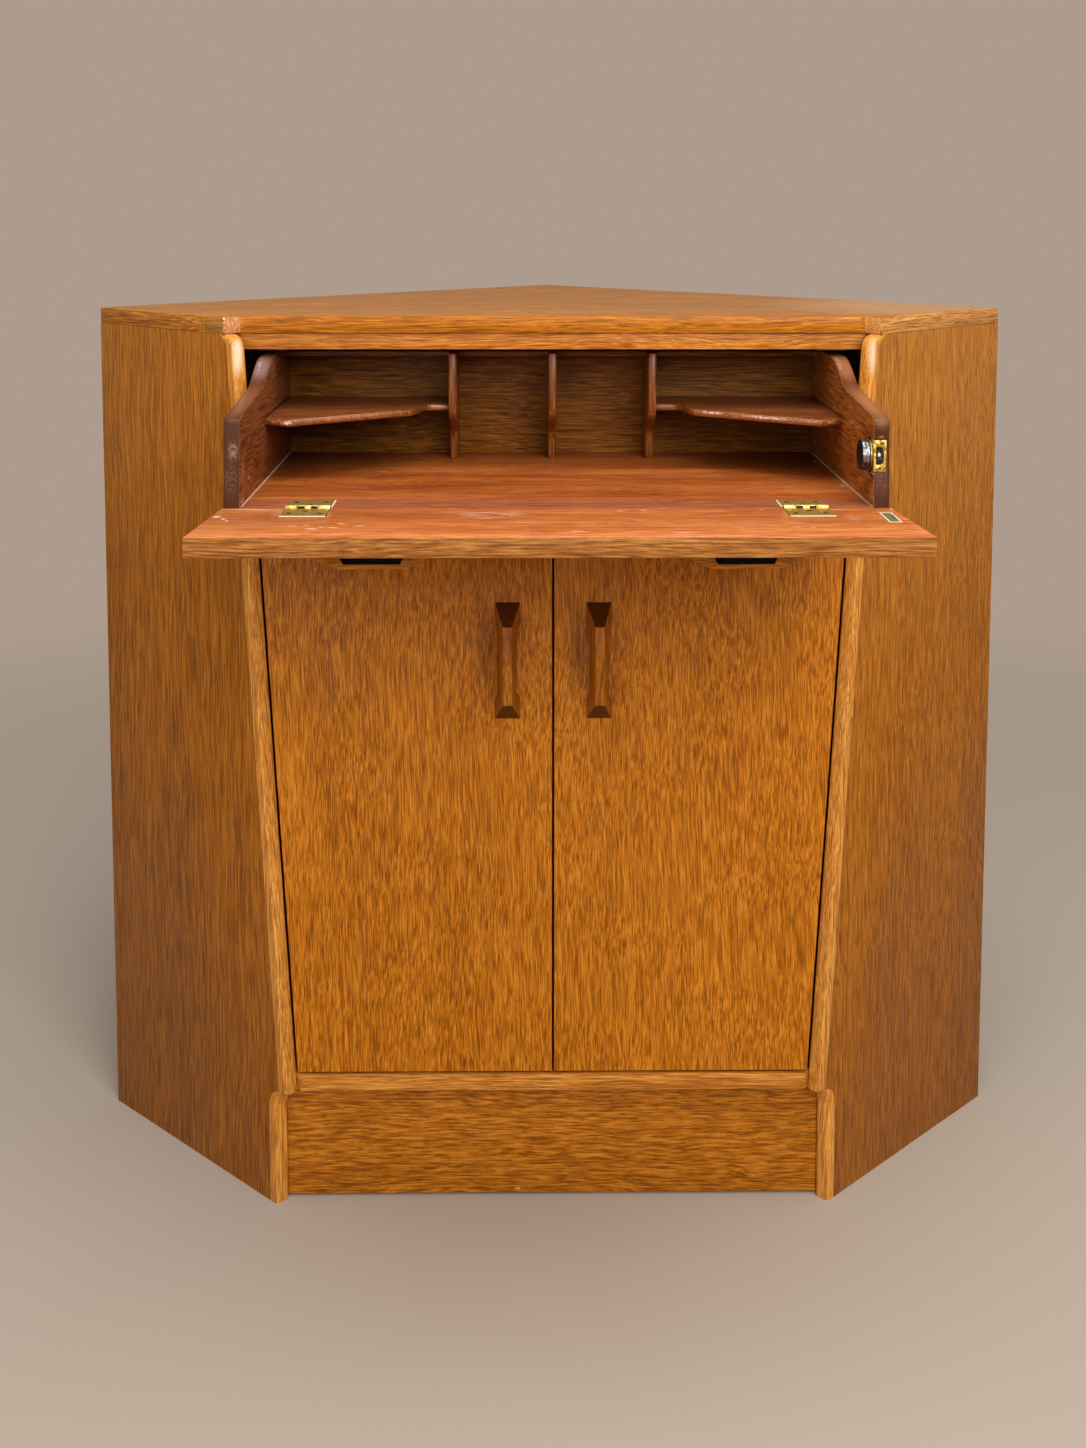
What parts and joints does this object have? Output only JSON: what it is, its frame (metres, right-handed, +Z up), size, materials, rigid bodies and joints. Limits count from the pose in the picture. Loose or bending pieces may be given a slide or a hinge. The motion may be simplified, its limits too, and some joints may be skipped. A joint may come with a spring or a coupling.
{
  "type": "corner cupboard",
  "caption": "Corner cupboard with canted sides, hinged doors below and a pull-out writing slide with a fall flap and letter rack above.",
  "frame": {"origin": "floor level, under the centre of the whole cupboard as stored, with the slide pulled out and the flap open", "axes": "+Z up; the doors and the flap face -Y; the room corner is towards +Y; +X is to the right seen from the front"},
  "size_m": [0.9334, 0.9474, 0.86],
  "materials": {
    "oak": "satin veneer",
    "oak_edge": "satin solid wood",
    "mahogany": "satin veneer",
    "dark_wood": "satin solid wood",
    "plain_wood": "unfinished",
    "brass": "worn",
    "steel": "dull",
    "plastic": "moulded"
  },
  "bodies": {
    "cabinet": {"top_panel": "oak", "top_front_edge": "oak_edge", "top_lipping_left": "oak_edge", "top_lipping_right": "oak_edge", "side_panel_left": "oak", "side_panel_right": "oak", "side_edge_left": "oak_edge", "side_edge_right": "oak_edge", "back_panel_left": "plain_wood", "back_panel_right": "plain_wood", "corner_post": "plain_wood", "top_rail": "oak_edge", "mid_rail": "oak_edge", "bottom_board": "oak_edge", "plinth": "oak", "cupboard_shelf": "plain_wood", "shelf_rest_left": "plain_wood", "shelf_rest_right": "plain_wood", "slide_bed": "plain_wood", "slide_guide_left": "plain_wood", "slide_guide_right": "plain_wood", "kicker_left": "plain_wood", "kicker_right": "plain_wood", "door_catch": "plastic", "pivot_lower_left": "brass", "pivot_lower_right": "brass", "pivot_upper_left": "brass", "pivot_upper_right": "brass"},
    "writing_slide": {"desk_board": "mahogany", "desk_lipping": "mahogany", "slide_side_left": "mahogany", "slide_side_right": "mahogany", "slide_back": "dark_wood", "divider_left": "dark_wood", "divider_centre": "dark_wood", "divider_right": "dark_wood", "rack_shelf_left": "mahogany", "rack_shelf_right": "mahogany", "rack_top": "mahogany", "slide_stop_left": "plain_wood", "slide_stop_right": "plain_wood", "lock_case": "steel", "lock_forend": "brass", "hinge_desk_leaf_left": "brass", "hinge_desk_leaf_right": "brass", "hinge_pin_left": "steel", "hinge_pin_right": "steel"},
    "flap": {"flap_board": "oak", "flap_pull_left": "oak_edge", "flap_pull_right": "oak_edge", "strike_plate": "brass", "hinge_flap_leaf_left": "brass", "hinge_flap_leaf_right": "brass"},
    "catch_bolt": {"lock_bolt": "steel"},
    "left_door": {"door_left": "oak", "door_handle_left": "dark_wood", "door_plate_left": "steel"},
    "right_door": {"door_right": "oak", "door_handle_right": "dark_wood", "door_plate_right": "steel"}
  },
  "joints": [
    {"name": "slide_travel", "type": "slide", "parent": "cabinet", "child": "writing_slide", "axis": [0, 1, 0], "range_m": [0, 0.206]},
    {"name": "flap_hinge", "type": "hinge", "parent": "writing_slide", "child": "flap", "pos_m": [0, -0.34402, 0.712], "axis": [-1, 0, 0], "range_deg": [0, 93.83]},
    {"name": "bolt_press", "type": "slide", "parent": "writing_slide", "child": "catch_bolt", "axis": [0, 1, 0], "range_m": [0, 0.005], "stiffness_N_per_m": 200},
    {"name": "left_door_hinge", "type": "hinge", "parent": "cabinet", "child": "left_door", "pos_m": [-0.23573, -0.18478, 0.13397], "axis": [0.0667, -0.0667, -0.9955], "range_deg": [0, 105]},
    {"name": "right_door_hinge", "type": "hinge", "parent": "cabinet", "child": "right_door", "pos_m": [0.23573, -0.18478, 0.13397], "axis": [0.0667, 0.0667, 0.9955], "range_deg": [0, 105]}
  ]
}
